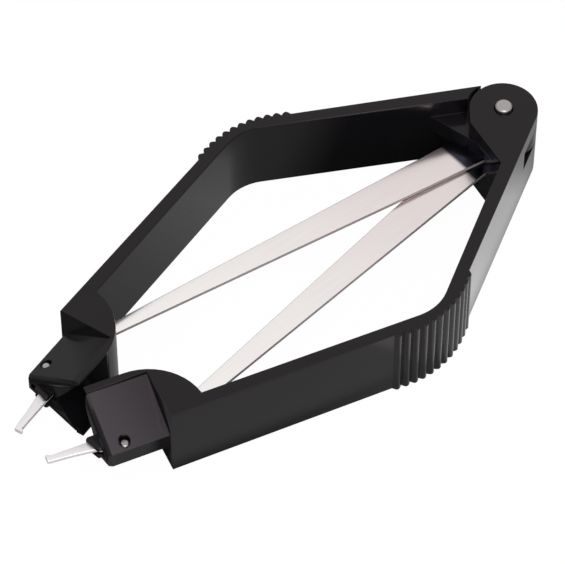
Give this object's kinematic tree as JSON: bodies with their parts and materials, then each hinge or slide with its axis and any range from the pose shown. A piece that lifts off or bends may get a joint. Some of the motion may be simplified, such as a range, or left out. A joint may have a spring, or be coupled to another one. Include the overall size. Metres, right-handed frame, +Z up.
{
  "type": "chip extractor",
  "caption": "Spring-strip chip extractor: two ribbed black plastic arms hinged on a steel pin, steel strips between them and barbed hooks pinned in the wedge feet.",
  "frame": {"origin": "centre of the bounding box on the flat underside that the tool lies on", "axes": "+X from the hinge to the hooks, +Y to the near arm, +Z up along the hinge pin"},
  "size_m": [0.128, 0.0636, 0.0178],
  "materials": {
    "arm_plastic": "satin black moulded plastic",
    "strip_steel": "bright rolled spring steel",
    "pin_steel": "turned steel",
    "hook_steel": "bright stamped steel"
  },
  "bodies": {
    "near_arm_body": {"near_arm": "arm_plastic", "pivot_pin": "pin_steel", "near_strip": "strip_steel", "near_hook_pin": "pin_steel"},
    "far_arm_body": {"far_arm": "arm_plastic", "far_strip": "strip_steel", "far_hook_pin": "pin_steel"},
    "near_hook_body": {"near_hook": "hook_steel"},
    "far_hook_body": {"far_hook": "hook_steel"}
  },
  "joints": [
    {"name": "arm_pivot", "type": "hinge", "parent": "near_arm_body", "child": "far_arm_body", "pos_m": [-0.05703, 0, 0.00845], "axis": [0, 0, -1], "range_deg": [-0.3, 16]},
    {"name": "near_hook_swing", "type": "hinge", "parent": "near_arm_body", "child": "near_hook_body", "pos_m": [0.05091, 0.01205, 0.00845], "axis": [0, 0, 1], "range_deg": [-5, 5]},
    {"name": "far_hook_swing", "type": "hinge", "parent": "far_arm_body", "child": "far_hook_body", "pos_m": [0.05091, -0.01205, 0.00845], "axis": [0, 0, -1], "range_deg": [-5, 5]}
  ]
}
